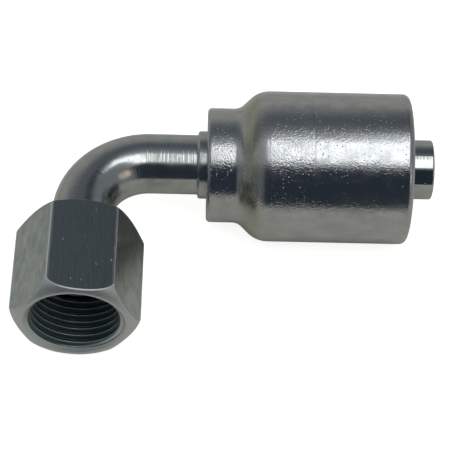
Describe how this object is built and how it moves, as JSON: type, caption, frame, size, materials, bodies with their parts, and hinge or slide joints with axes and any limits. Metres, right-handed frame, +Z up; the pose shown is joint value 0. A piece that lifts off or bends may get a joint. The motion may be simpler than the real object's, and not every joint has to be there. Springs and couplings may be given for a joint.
{
  "type": "crimp hose fitting",
  "caption": "Bent steel crimp fitting with a swivel nut: its flare seat joins a hydraulic hose to a port at a right angle.",
  "frame": {"origin": "on the hose axis, at the plane of the crimp shell's open end", "axes": "+X along the hose axis, towards the hose; -Y towards the swivel nut; +Z up from the floor that the fitting lies on"},
  "size_m": [0.084, 0.0566, 0.031],
  "materials": {
    "stem": "bright zinc plate over turned and bent steel tube",
    "crimp_shell": "bright zinc plate, tumbled, finely scuffed",
    "swivel_nut": "zinc plate over drawn hexagon bar, satin"
  },
  "bodies": {
    "hose_end": {"stem": "stem", "crimp_shell": "crimp_shell"},
    "nut": {"swivel_nut": "swivel_nut"}
  },
  "joints": [
    {"name": "nut_spin", "type": "hinge", "parent": "hose_end", "child": "nut", "pos_m": [-0.06625, -0.03363, -0.00334], "axis": [0, -0.9951, -0.0988], "continuous": true}
  ]
}
